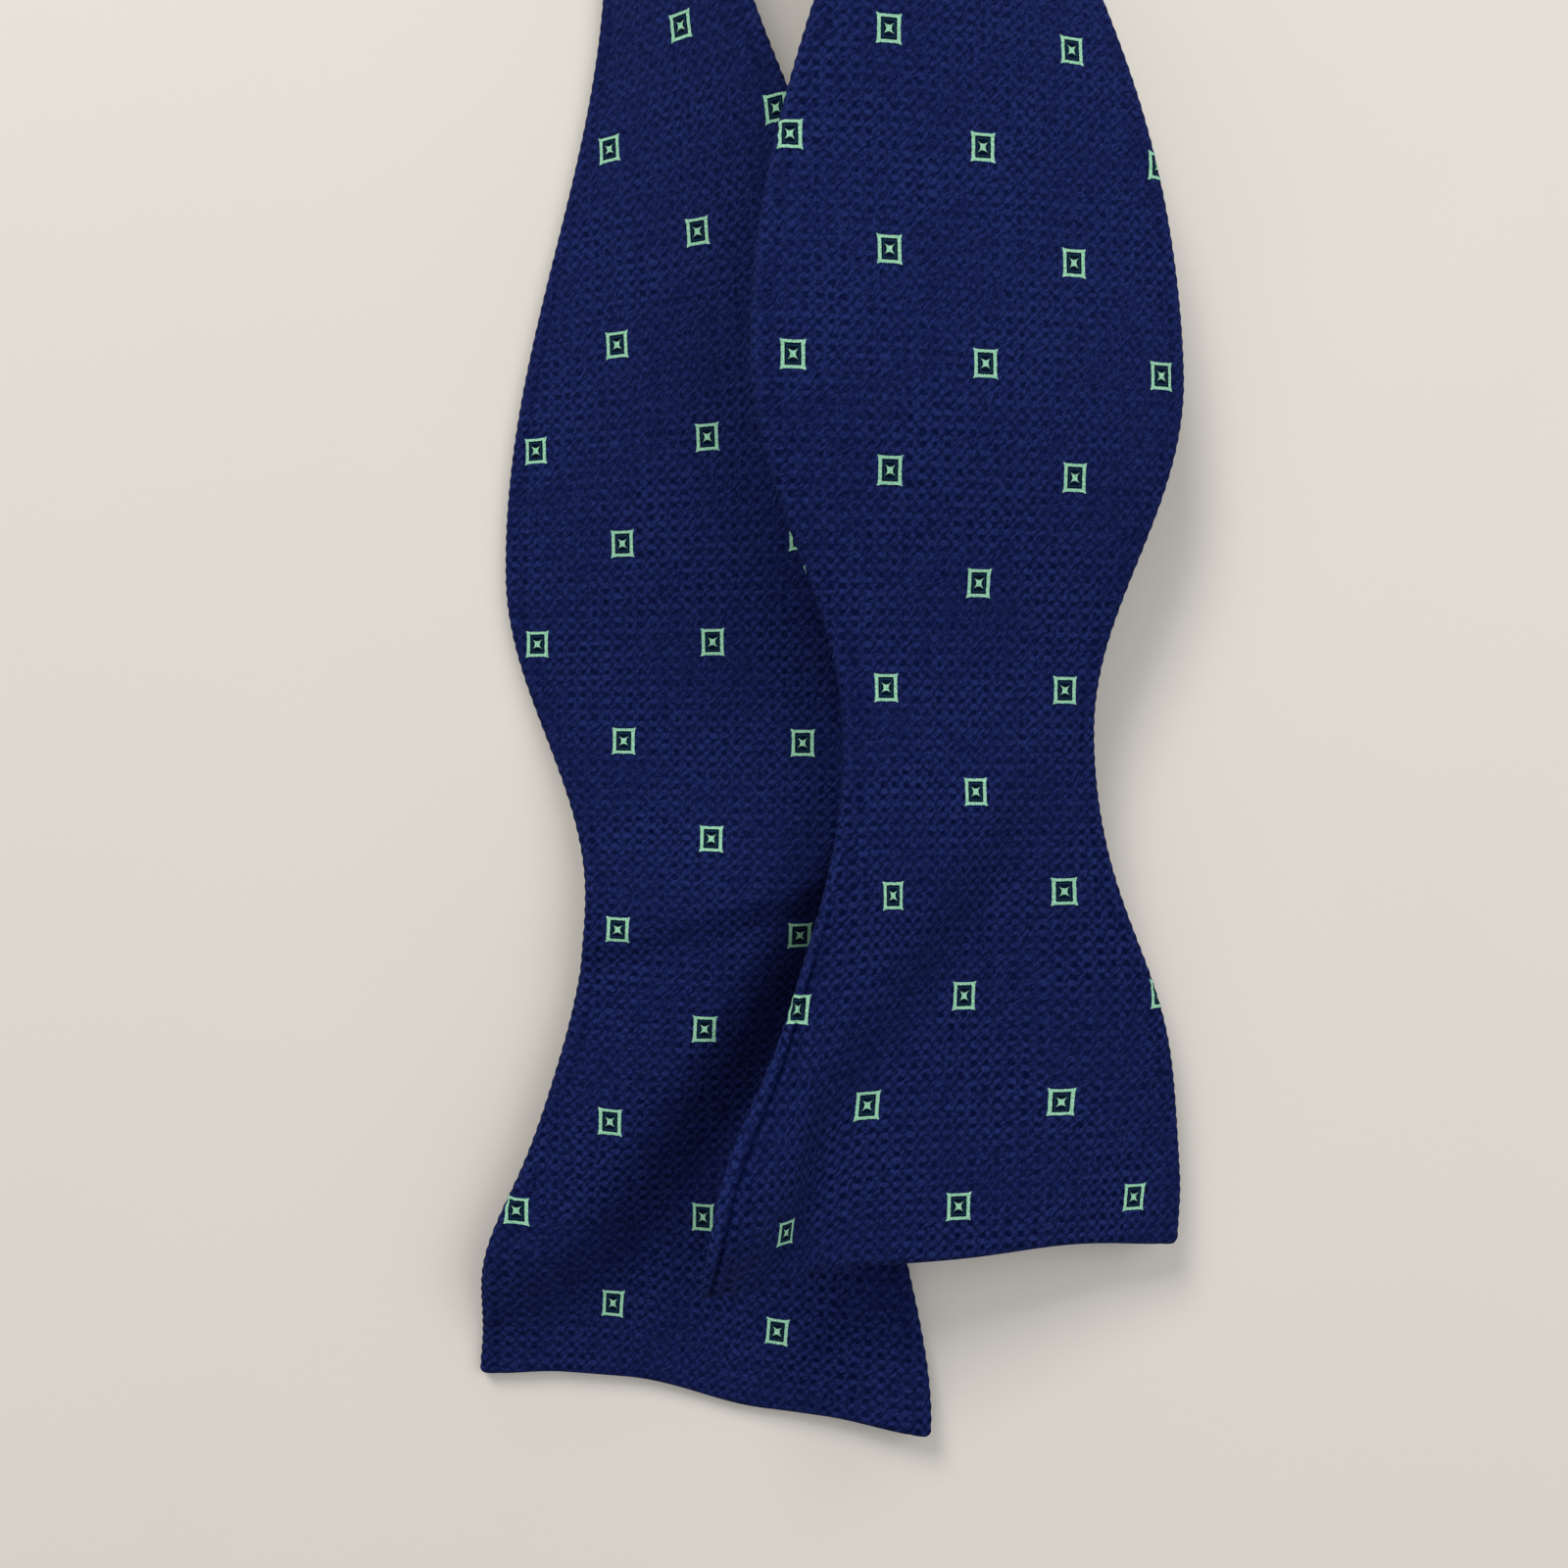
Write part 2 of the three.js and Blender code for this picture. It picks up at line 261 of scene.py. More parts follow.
def right_relief(s, v):
    """How far the right blade stands out of its flat shape. A fold runs from the waist's right side down
    to the lower left corner, and lifts that corner."""
    q = s / half_width(v)
    crown = RIGHT_CROWN * (1 - q * q) * fade(*CROWN_FADE, v)
    ripple = RIPPLE * np.sin(2 * math.pi * v / RIPPLE_LENGTH + 1.2 * q + 0.6)
    height = 3.4 * fade(48, 82, v) + 4.6 * fade(2, 28, v)
    return crown + ripple + height * (1 - grow(-5.5, 4.5, beside(s, v, RIGHT_FOLD)))


def left_relief(s, v):
    """The left blade's left side stands up below the waist, with a slope that runs down to the lower left
    corner and a small crease across the waist. Its lower right corner lifts."""
    q = s / half_width(v)
    slope = beside(s, v, LEFT_SLOPE)
    side = (1 - grow(-6.5, 6.5, slope)) * (1 - 0.55 * grow(8, 34, -slope))
    raised = 7 * side * grow(2, 24, v) * fade(70, 112, v)
    crease = 1.6 * (1 - grow(-1, 4, beside(s, v, LEFT_CREASE))) * fade(72, 100, v)
    corner = 2.6 * grow(0.25, 1, q) * fade(0, 26, v)
    crown = LEFT_CROWN * (1 - q * q) * grow(60, 110, v) * fade(*CROWN_FADE, v)
    return raised + crease + corner + crown


def no_relief(s, v):
    return np.zeros_like(s)


def right_cut(s, across, v):
    """Where the cloth at s lies, and which part of the weave is there. The lifted corner is drawn
    outwards and cut wider, and its fold takes some of that up. The other edge swells below the waist. The
    weave is drawn to the left in the middle and at the right corner, and is taken up by the fold."""
    near_end = fade(14, 45, v)
    flare = 5 * grow(23, 32, -s) * near_end
    drawn = 2.6 * grow(-6, 22, -s) * near_end
    taken_up = 3.2 * grow(17, 28, -s) * near_end
    swell = 2.8 * grow(4, 22, s) * bell(v - 32, 16)
    corner = 0.6 * grow(20, 32, s) * fade(0, 10, v)
    weave_middle = 1.3 * np.where(s > 3, bell(s - 3, 8), bell(s - 3, 13)) * fade(60, 105, v)
    weave_fold = 1.1 * grow(8, 16, -s) * bell(v - 46, 13)
    weave_corner = 1.3 * grow(12, 24, s) * fade(6, 24, v)
    moved = taken_up - drawn - flare + swell - corner
    return s + moved, across - flare + weave_middle - weave_fold + weave_corner


def left_cut(s, across, v):
    """The lower left corner and the cloth beside it are drawn in a little, and the edge above it swells.
    The right corner is drawn out."""
    corner = 1.3 * grow(4, 28, -s) * fade(4, 30, v)
    middle = 1.1 * grow(-12, 6, -s) * (1 - grow(18, 31, -s)) * fade(22, 50, v)
    flare = 2 * grow(16, 32, s) * fade(0, 24, v)
    swell = 1.1 * grow(14, 28, -s) * bell(v - 21, 10)
    weave = 0.4 * fade(20, 36, v) + 1.15 * swell
    return s + corner + middle + flare - swell, across - weave


def as_cut(s, across, v):
    return s, across


def right_end(q, v):
    """How far the square end stands back. The lifted corner hangs low, and the other side curves back."""
    sag = 2.5 * grow(0.5, 0.9, -q) * fade(14, 44, v)
    hollow = 1.6 * bell(q + 0.78, 0.3) * bell(v - 9, 7)
    back = 1.3 * bell(q - 0.5, 0.4) * fade(0, 18, v)
    return back - sag - hollow


def left_end(q, v):
    """The left side of this end stands back, and its right corner hangs lower."""
    right_side = 3 * grow(-0.35, 0.35, q) + 1.2 * grow(0.6, 1, q)
    left_side = 1.1 * grow(0.65, 1, -q)
    return (2.3 - right_side - left_side) * fade(0, 22, v)


def straight_end(q, v):
    return np.zeros_like(q)


def right_roll(v):
    """How deep the seam lies beside the lifted corner, where the back cloth rolls out round the edge."""
    return 0.8 * fade(34, 60, v) + 0.2 * fade(120, 240, v)


def no_roll(v):
    return 0


def right_drawn(s, v):
    """How far the weave is drawn along the right blade near its waist, and back at its lifted corner."""
    near_waist = 0.9 * bell(v - 45, 24) * (1 - grow(12, 22, -s))
    near_corner = 2 * grow(15, 23, -s) * fade(13, 38, v)
    at_right = 0.8 * grow(6, 13, s) * bell(v - 27, 14)
    return near_waist - near_corner - at_right


def left_drawn(s, v):
    """How far it is drawn along the left blade's end, which is less at both of the lower corners."""
    less_at_end = 0.5 * fade(8, 30, v)
    less_at_right = 0.8 * grow(-10, -3, s) * fade(22, 42, v)
    along = 2 * fade(50, 95, v) - less_at_end - less_at_right
    right_corner = 1.5 * grow(0, 12, s) * fade(12, 30, v)
    left_corner = 0.5 * grow(16, 26, -s) * fade(6, 20, v)
    beside_edge = 0.6 * grow(5, 27, -s) * bell(v - 35, 22)
    return along * (1 - right_corner) * (1 - left_corner) + beside_edge


def not_drawn(s, v):
    return 0


# ---------------------------------------------------------------- meshes

def new_object(name, points, faces, uvs, material):
    """A mesh object from points in millimetres. Its UV map holds its cloth coordinates, also in
    millimetres."""
    mesh = bpy.data.meshes.new(name)
    mesh.from_pydata((np.asarray(points) * MM).tolist(), [], faces)
    if uvs is not None:
        layer = mesh.uv_layers.new(name="cloth")
        layer.uv.foreach_set("vector", np.asarray(uvs, np.float32).ravel())
    mesh.polygons.foreach_set("use_smooth", [True] * len(mesh.polygons))
    mesh.materials.append(material)
    mesh.validate()
    made = bpy.data.objects.new(name, mesh)
    bpy.context.scene.collection.objects.link(made)
    return made


# Columns of points lie closer together near a strip's long edges, with ROUND_STEPS of them round each edge.
EDGE_COLUMNS = (0, 0.2, 0.4, 0.65, 1.0, 1.5, 2.2)
EDGE_SHARE = 0.4
ROUND_STEPS = 5

# The cloth's relief: the weave's knobs on the edge and the face, then the rolled edge's line and the seam's
# groove;
# last, a painted highlight on the rolled edge. Each is given by how far it lies in from the edge and how
# wide it is.
EDGE_KNOB = 0.07
FACE_KNOB = 0.03
KNOB_FADE = (200, FINE_END)
ROLL_IN = 1.2
ROLL_WIDTH = 0.26
GROOVE_IN = 2.3
GROOVE_WIDTH = 0.42
LIT_IN = 0.35
LIT_WIDTH = 0.5

# A lattice says where the woven squares start across and along, how they lean about a place along the
# strand, and how far they are drawn along at each place.
LEAN_ABOUT = 100
PLAIN_LATTICE = (0, 0, 0, not_drawn)


def section(width, half, middle_columns):
    """One loop round a flat strip, as (s, t, across): over the front from -s to +s, and back underneath.
    The last value is how far the cloth has come from the middle."""
    radius = min(HALF_STACK, half * 1.1)
    inner = width - radius
    offsets = [d for d in EDGE_COLUMNS if d < inner * EDGE_SHARE]
    edge = offsets[-1]
    middle = np.linspace(-(inner - edge), inner - edge, middle_columns)
    flat = np.concatenate([[-inner + d for d in offsets[:-1]], middle, [inner - d for d in offsets[-2::-1]]])
    turn = np.linspace(0, math.pi / 2, ROUND_STEPS + 1)[1:]
    over = [(s, half, s) for s in flat]
    right_turn = [(inner + radius * math.sin(a), half * math.cos(a), inner + radius * a) for a in turn]
    left_turn = [(-s, t, -across) for s, t, across in right_turn[::-1]]
    front = left_turn + over + right_turn
    back = [(s, -t, across) for s, t, across in front[::-1]][1:-1]
    return np.array(front), np.array(back)


def stations(v_from, v_to, half):
    """Places along a strip with the share of its thickness there, rounded at both ends."""
    turn = np.linspace(0, math.pi / 2, ROUND_STEPS + 1)[:-1]
    starts = [(v_from + half * (1 - math.cos(a)), math.sin(a)) for a in turn]
    ends = [(v_to - half * (1 - math.cos(a)), math.sin(a)) for a in turn[::-1]]
    inner, v = [], v_from + half
    while v < v_to - half - FINE_STEP / 2:
        inner.append((v, 1.0))
        v += FINE_STEP if v < FINE_END else COARSE_STEP
    inner.append((v_to - half, 1.0))
    return starts + inner + ends


def knobbed(s, t, width, phase, v):
    """Adds the weave's knobs to a loop of the strip."""
    edge = grow(width - ROLL_IN, width, np.abs(s))
    wave = math.cos(2 * math.pi * phase / CELL_V) * fade(*KNOB_FADE, v)
    return s + np.sign(s) * edge * EDGE_KNOB * wave, t + np.sign(t) * (1 - edge) * FACE_KNOB * wave


def sewn(s, t, width, v, seam, roll):
    """Presses the seam's uneven groove and the line beside the rolled edge into a loop. Also gives each
    point's painted shade along that groove and line; below 0 is a painted highlight where the rolled edge is
    lit."""
    groove = bell(width - GROOVE_IN - np.abs(s), GROOVE_WIDTH) * np.where(t > 0, 1, 0.5)
    uneven = 0.45 + 0.3 * math.sin(v / 9.0) + 0.25 * math.sin(v / 3.7 + 1)
    t = t - np.sign(t) * groove * seam * uneven
    rolled = bell(width - ROLL_IN + s, ROLL_WIDTH) * (t > 0) * roll
    t = t - rolled
    # Painted shade in the colour along the rolled line and the groove, less a painted highlight on the
    # rolled edge's lit side.
    painted_highlight = 0.35 * bell(width - LIT_IN + s, LIT_WIDTH) * (t > 0) * min(1, 3 * roll)
    return t, np.clip(rolled * 1.1 + 0.25 * groove, 0, 0.85) - painted_highlight


def strip(name, strand, v_from, v_to, material, half=HALF_STACK, centre=0, inset=0, relief=no_relief,
          end_shift=straight_end, reshape=as_cut, roll_depth=no_roll, lattice=PLAIN_LATTICE, columns=40,
          knobs=True, seam=0, taper=None):
    """A closed strip of cloth along a strand, with its pattern laid out by a lattice."""
    u0, v0, lean, drawn = lattice
    points, coordinates, painted_seam_shades = [], [], []
    for v, share in stations(v_from, v_to, half):
        width = half_width(v) - inset - half * (1 - share) * 0.5
        thick = half if taper is None else float(taper(v))
        front, back = section(width, thick, columns)
        loop = np.concatenate([front, back])
        s, t, across = loop[:, 0], loop[:, 1] * share, loop[:, 2]
        if knobs and v < FINE_END:
            s, t = knobbed(s, t, width, v - v0, v)
        if seam:
            # Each loop's painted shade and painted highlight by the seam are kept for the cloth's colour.
            t, painted_shade = sewn(s, t, width, v, seam, roll_depth(v))
            painted_seam_shades.append(painted_shade)
        shift = end_shift(s / width, v)
        out = centre + t + relief(s, v)
        s, across = reshape(s, across, v)
        points.append(strand.lay(s, v, out, shift))
        coordinate_u = across - u0 - lean * (v - LEAN_ABOUT)
        coordinate_v = v - v0 - drawn(s, v) + lean * across + shift
        coordinates.append(np.stack([coordinate_u, coordinate_v], -1))
    return closed_grid(name, np.array(points), np.array(coordinates), len(front), material, painted_seam_shades)


# The back cloth is cut elsewhere from the same weave.
BACK_SHIFT = (9.0, 11.0)


def closed_grid(name, points, coordinates, front_count, material, painted_seam_shades=()):
    """Joins the loops of a grid into one closed mesh, whose first and last loops are pressed flat."""
    rows, loop = points.shape[:2]
    index = np.arange(rows * loop).reshape(rows, loop)
    # A pressed loop's back points are its front points, in the other order.
    for row in (0, rows - 1):
        for k in range(front_count, loop):
            index[row, k] = index[row, 2 * front_count - 2 - k]
    faces, uvs = [], []
    for row in range(rows - 1):
        for k in range(loop):
            n = (k + 1) % loop
            quad = [(row, k), (row, n), (row + 1, n), (row + 1, k)]
            back = k >= front_count - 1
            corner_index = [int(index[r, c]) for r, c in quad]
            kept = [i for i in range(4) if corner_index[i] not in corner_index[:i]]
            if len(kept) < 3:
                continue
            faces.append([corner_index[i] for i in kept])
            for i in kept:
                r, c = quad[i]
                u, v = coordinates[r, c]
                uvs.append((u + BACK_SHIFT[0], v + BACK_SHIFT[1]) if back else (u, v))
    used = np.zeros(rows * loop, bool)
    used[np.concatenate([np.array(f) for f in faces])] = True
    order = np.cumsum(used) - 1
    faces = [[int(order[i]) for i in f] for f in faces]
    made = new_object(name, points.reshape(-1, 3)[used], faces, uvs, material)
    # The painted shade and painted highlight by the seam go into a point attribute that the cloth's colour
    # reads.
    painted_shade_per_point = np.array(painted_seam_shades).ravel()[used] if len(painted_seam_shades) else np.zeros(int(used.sum()))
    layer = made.data.attributes.new("seam", "FLOAT", "POINT")
    layer.data.foreach_set("value", painted_shade_per_point.astype(np.float32))
    return made


def ribbon(name, path, half_wide, half_thick, centre_z, material, start_v):
    """A strap on edge that follows a path of (x, y) points in plan, with rounded long edges."""
    path = np.array(path, float)
    along = np.gradient(path, axis=0)
    along /= np.linalg.norm(along, axis=1)[:, None]
    normal = np.stack([-along[:, 1], along[:, 0]], -1)
    length = np.concatenate([[0], np.cumsum(np.linalg.norm(np.diff(path, axis=0), axis=1))])
    front, back = section(half_wide, half_thick, 9)
    loop = np.concatenate([front, back])
    points, coordinates = [], []
    for i, (x, y) in enumerate(path):
        ends = min(length[i], length[-1] - length[i])
        share = math.sin(math.acos(max(0.0, 1 - ends / half_thick)))
        t = loop[:, 1] * share
        at = np.stack([x + normal[i, 0] * t, y + normal[i, 1] * t, centre_z + loop[:, 0]], -1)
        points.append(at - ORIGIN)
        coordinates.append(np.stack([loop[:, 2], np.full(len(loop), start_v + length[i])], -1))
    return closed_grid(name, np.array(points), np.array(coordinates), len(front), material)


PATH_STEP = 0.8
END_STEPS = (0.12, 0.3, 0.55)


def line(a, b):
    """Points on a straight line from a to b."""
    count = max(2, int(math.dist(a, b) / PATH_STEP) + 1)
    return [(a[0] + (b[0] - a[0]) * k / count, a[1] + (b[1] - a[1]) * k / count) for k in range(count + 1)]


def arc(centre, radius, start, end, count):
    """Points on an arc, from start to end in degrees anticlockwise from +X."""
    angles = np.linspace(start * DEG, end * DEG, count + 1)
    return [(centre[0] + radius * math.cos(a), centre[1] + radius * math.sin(a)) for a in angles]


def route(*stretches):
    """Joins stretches of a path, leaving out doubled points, and adds close points at both ends."""
    points = []
    for stretch in stretches:
        for p in stretch:
            if not points or math.dist(p, points[-1]) > 1e-6:
                points.append(tuple(p))
    first, second, last, before = points[0], points[1], points[-1], points[-2]

    def part(a, b, d):
        share = d / math.dist(a, b)
        return (a[0] + (b[0] - a[0]) * share, a[1] + (b[1] - a[1]) * share)

    head = [part(first, second, d) for d in END_STEPS if d < math.dist(first, second)]
    tail = [part(last, before, d) for d in reversed(END_STEPS) if d < math.dist(last, before)]
    return [first, *head, *points[1:-1], *tail, last]


# ---------------------------------------------------------------- materials

def srgb(red, green, blue):
    """A colour given as 0 to 255 display values, in linear light."""
    def linear(c):
        c /= 255
        return c / 12.92 if c <= 0.04045 else ((c + 0.055) / 1.055) ** 2.4
    return (linear(red), linear(green), linear(blue), 1)


class Shader:
    """A material and short ways to add its nodes."""

    def __init__(self, name):
        self.material = bpy.data.materials.new(name)
        self.material.use_nodes = True
        self.tree = self.material.node_tree
        self.bsdf = self.tree.nodes["Principled BSDF"]

    def node(self, kind, **settings):
        made = self.tree.nodes.new(kind)
        for key, value in settings.items():
            setattr(made, key, value)
        return made

    def put(self, socket, value):
        if isinstance(value, bpy.types.NodeSocket):
            self.tree.links.new(value, socket)
        elif value is not None:
            socket.default_value = value

    def fed(self, node, *values):
        """A node's first output, once its sockets have these values or links, in order."""
        for socket, value in zip(node.inputs, values):
            self.put(socket, value)
        return node.outputs[0]

    def math(self, operation, a, b=None, c=None):
        return self.fed(self.node("ShaderNodeMath", operation=operation), a, b, c)

    def times(self, a, b):
        return self.math("MULTIPLY", a, b)

    def plus(self, a, b):
        return self.math("ADD", a, b)

    def minus(self, a, b):
        return self.math("SUBTRACT", a, b)

    def ramp(self, value, low, high, to_low=0.0, to_high=1.0):
        made = self.node("ShaderNodeMapRange", interpolation_type="SMOOTHSTEP")
        return self.fed(made, value, low, high, to_low, to_high)

    def mix(self, factor, a, b):
        made = self.node("ShaderNodeMix", data_type="RGBA")
        self.put(made.inputs[0], factor)
        self.put(made.inputs[6], a)
        self.put(made.inputs[7], b)
        return made.outputs[2]

    def cloth_uv(self):
        uv = self.node("ShaderNodeUVMap", uv_map="cloth")
        split = self.node("ShaderNodeSeparateXYZ")
        self.put(split.inputs[0], uv.outputs[0])
        return split.outputs[0], split.outputs[1]

    def seam(self):
        # The point attribute that holds the painted shade and painted highlight by the seam.
        return self.node("ShaderNodeAttribute", attribute_name="seam").outputs["Fac"]

    def vector(self, x, y, z=0.0):
        return self.fed(self.node("ShaderNodeCombineXYZ"), x, y, z)

    def noise(self, vector, scale, detail=2.0, roughness=0.5):
        made = self.node("ShaderNodeTexNoise")
        self.put(made.inputs["Vector"], vector)
        made.inputs["Scale"].default_value = scale
        made.inputs["Detail"].default_value = detail
        made.inputs["Roughness"].default_value = roughness
        return made.outputs[0]

    def bump(self, height, distance, strength):
        made = self.node("ShaderNodeBump")
        made.inputs["Strength"].default_value = strength
        made.inputs["Distance"].default_value = distance
        self.put(made.inputs["Height"], height)
        return made.outputs[0]

    def set(self, **values):
        for key, value in values.items():
            self.put(self.bsdf.inputs[key.replace("_", " ")], value)


def woven(shader, u, v):
    """The hopsack's height from 0 to 1: knobs in a half drop, every other row of them a little fuller."""
    wobble = shader.noise(shader.vector(u, v), 0.9, 2.0)
    drift = shader.math("MULTIPLY_ADD", wobble, 1.0, -0.5)
    a = shader.times(shader.plus(u, drift), 2 * math.pi / CELL_U)
    b = shader.times(shader.minus(v, drift), 2 * math.pi / CELL_V)
    rising = shader.math("COSINE", shader.minus(a, b))
    falling = shader.math("COSINE", shader.plus(a, b))
    row = shader.math("COSINE", b)
    half_row = shader.math("COSINE", shader.times(b, 2))
    total = shader.times(rising, 0.44)
    total = shader.math("MULTIPLY_ADD", falling, 0.36, total)
    total = shader.math("MULTIPLY_ADD", row, 0.3, total)
    total = shader.math("MULTIPLY_ADD", half_row, 0.12, total)
    return shader.ramp(total, -0.85, 0.7)


def square_motif(shader, u, v):
    """Masks of the nearest woven square in one half of the drop: its ring, dark field, faint inner line and
    star."""
    x = shader.math("ABSOLUTE", shader.math("WRAP", u, MOTIF_U / 2, -MOTIF_U / 2))
    y = shader.math("ABSOLUTE", shader.math("WRAP", v, MOTIF_V / 2, -MOTIF_V / 2))

    def reach(at, other, half, other_half, horn, power):
        """How far inside a side the point is. The side runs out into horns at its corners."""
        share = shader.math("MINIMUM", shader.math("DIVIDE", other, other_half), 1.0)
        edge = shader.math("MULTIPLY_ADD", shader.math("POWER", share, power), horn, half)
        return shader.minus(edge, at)

    outer = shader.math("MINIMUM", reach(x, y, SQUARE_U, SQUARE_V, SQUARE_HORN, 6),
                        reach(y, x, SQUARE_V, SQUARE_U, SQUARE_HORN, 6))
    inner_x, inner_y = SQUARE_U - SQUARE_LINE, SQUARE_V - SQUARE_LINE * 0.85
    inner = shader.math("MINIMUM", shader.minus(inner_x, x), shader.minus(inner_y, y))
    star = shader.math("MINIMUM", reach(x, y, STAR_U, STAR, STAR_HORN, 2),
                       reach(y, x, STAR_V, STAR, STAR_HORN + 0.02, 2))
    field = shader.ramp(outer, 0, THREAD_BLUR)
    ring = shader.times(field, shader.ramp(inner, -0.04, 0.04, 1, 0))
    inner_line = shader.times(shader.ramp(inner, 0.2, 0.26), shader.ramp(inner, 0.34, 0.4, 1, 0))
    return ring, field, inner_line, shader.ramp(star, 0, THREAD_BLUR)


# The navy runs from a deep colour that also carries painted shade to a lit colour that carries painted
# light.
NAVY_DEEP_AND_SHADED, NAVY_LIT, NAVY_GLINT = srgb(2, 7, 43), srgb(34, 46, 103), srgb(58, 72, 128)
FIELD_DARK, FIELD_LINE = srgb(2, 14, 26), srgb(30, 66, 92)
MINT_DEEP, MINT_LIT = srgb(112, 180, 146), srgb(180, 230, 198)


def cloth_material():
    """Navy hopsack with small mint squares, each a ring with a dark field and a star in it."""
    shader = Shader("navy_cloth")
    u, v = shader.cloth_uv()
    place = shader.vector(u, v)

    # The weave stands out more near the square ends, and in patches.
    patches = shader.noise(place, 0.07, 2.0)
    near_end = shader.ramp(v, 20, 130, 0.78, 0.58)
    crisp = shader.times(near_end, shader.ramp(patches, 0.35, 0.65, 0.6, 1.1))
    weave = woven(shader, u, v)
    weave = shader.math("MULTIPLY_ADD", shader.minus(weave, 0.5), crisp, 0.5)

    # Flecks lean to the right, and hairs run along the blade.
    leaning = shader.vector(shader.times(shader.plus(u, v), 0.8), shader.times(shader.minus(u, v), 2.0))
    flecks = shader.noise(leaning, 1.15, 3.0, 0.65)
    hairs = shader.noise(shader.vector(shader.times(u, 5.5), v), 1.6, 3.0, 0.6)
    fuzz = shader.math("MULTIPLY_ADD", hairs, 0.35, shader.times(flecks, 0.65))

    # The weave's height sets the tone too: painted shade in the gaps between its knobs and painted light on
    # their tops, over the threads' own uneven tone.
    tone = shader.times(weave, shader.ramp(fuzz, 0.34, 0.66, 0.15, 1.85))
    tone = shader.times(tone, shader.ramp(patches, 0.3, 0.7, 0.92, 1.1))
    tone = shader.times(tone, shader.ramp(shader.noise(place, 0.5, 2.0), 0.3, 0.7, 0.84, 1.16))
    tone = shader.times(tone, shader.ramp(v, 40, 120, 0.88, 1.0))
    # Painted shade darkens the colour along the seam's groove and the rolled line, and a painted highlight
    # lightens the rolled edge.
    tone = shader.times(tone, shader.minus(1.0, shader.seam()))
    colour = shader.mix(tone, NAVY_DEEP_AND_SHADED, NAVY_LIT)
    glints = shader.noise(place, 2.6, 2.0, 0.5)
    colour = shader.mix(shader.ramp(glints, 0.66, 0.78, 0, 0.4), colour, NAVY_GLINT)
    height = shader.math("MULTIPLY_ADD", fuzz, 1.2, weave)

    # The squares' edges are ragged, and every other one lies half a repeat away.
    ragged = shader.noise(place, 4.5, 2.0, 0.6)
    jitter = shader.math("MULTIPLY_ADD", ragged, 0.16, -0.08)
    mu, mv = shader.plus(u, jitter), shader.plus(v, jitter)
    first = square_motif(shader, mu, mv)
    second = square_motif(shader, shader.plus(mu, MOTIF_U / 2), shader.plus(mv, MOTIF_V / 2))
    ring, field, inner_line, star = (shader.math("MAXIMUM", a, b) for a, b in zip(first, second))
    threads = shader.noise(shader.vector(shader.times(u, 2), v), 3.2, 2.0, 0.6)
    mint = shader.mix(shader.ramp(threads, 0.35, 0.65), MINT_DEEP, MINT_LIT)
    satin = shader.math("MAXIMUM", ring, star)
    colour = shader.mix(shader.times(field, 0.86), colour, FIELD_DARK)
    colour = shader.mix(shader.times(inner_line, 0.55), colour, FIELD_LINE)
    colour = shader.mix(satin, colour, mint)
    raised = shader.math("MULTIPLY_ADD", threads, 0.5, 0.75)
    lowered = shader.times(shader.minus(1.0, field), height)
    height = shader.math("MULTIPLY_ADD", satin, raised, lowered)

    shader.set(Base_Color=colour, Roughness=shader.ramp(fuzz, 0.2, 0.8, 1.0, 0.8),
               Normal=shader.bump(height, 0.26 * MM, 0.8), Specular_IOR_Level=0.03,
               Sheen_Weight=0.03, Sheen_Roughness=0.5, Sheen_Tint=srgb(120, 140, 230))
    return shader.material


CANVAS_THREAD = 0.9
LABEL_RIB = 0.35


def canvas_material():
    """Unbleached woven canvas, as used inside ties."""
    shader = Shader("interlining_canvas")
    u, v = shader.cloth_uv()
    warp = shader.math("SINE", shader.times(u, 2 * math.pi / CANVAS_THREAD))
    weft = shader.math("SINE", shader.times(v, 2 * math.pi / CANVAS_THREAD))
    over = shader.math("MULTIPLY_ADD", shader.times(warp, weft), 0.5, 0.5)
    slub = shader.noise(shader.vector(u, shader.times(v, 0.15)), 1.4, 3.0)
    tone = shader.math("MULTIPLY_ADD", slub, 0.5, shader.times(over, 0.5))
    shader.set(Base_Color=shader.mix(tone, srgb(178, 166, 138), srgb(226, 219, 200)), Roughness=0.95,
               Normal=shader.bump(over, 0.15 * MM, 0.8), Sheen_Weight=0.1)
    return shader.material


def label_material():
    """Satin label tape with plain woven border bars and no lettering."""
    shader = Shader("label_tape")
    u, v = shader.cloth_uv()
    wave = shader.math("SINE", shader.times(v, 2 * math.pi / LABEL_RIB))
    ribs = shader.math("MULTIPLY_ADD", wave, 0.5, 0.5)
    grain = shader.noise(shader.vector(u, shader.times(v, 4.0)), 2.2, 3.0)
    base = shader.mix(grain, srgb(20, 24, 44), srgb(44, 50, 84))
    edge = shader.math("ABSOLUTE", u)
    bars = shader.times(shader.ramp(edge, 4.6, 4.75), shader.ramp(edge, 5.35, 5.5, 1, 0))
    colour = shader.mix(bars, base, srgb(150, 205, 170))
    shader.set(Base_Color=colour, Roughness=shader.ramp(ribs, 0, 1, 0.5, 0.34),
               Normal=shader.bump(shader.math("MULTIPLY_ADD", grain, 0.4, ribs), 0.06 * MM, 0.7),
               Sheen_Weight=0.03)
    return shader.material


def thread_material():
    """Twisted sewing thread."""
    shader = Shader("sewing_thread")
    place = shader.node("ShaderNodeTexCoord").outputs["Object"]
    ply = shader.noise(place, 5200, 2.0)
    shader.set(Base_Color=shader.mix(ply, srgb(16, 22, 58), srgb(54, 64, 116)), Roughness=0.6,
               Normal=shader.bump(ply, 0.05 * MM, 0.8), Sheen_Weight=0.2)
    return shader.material


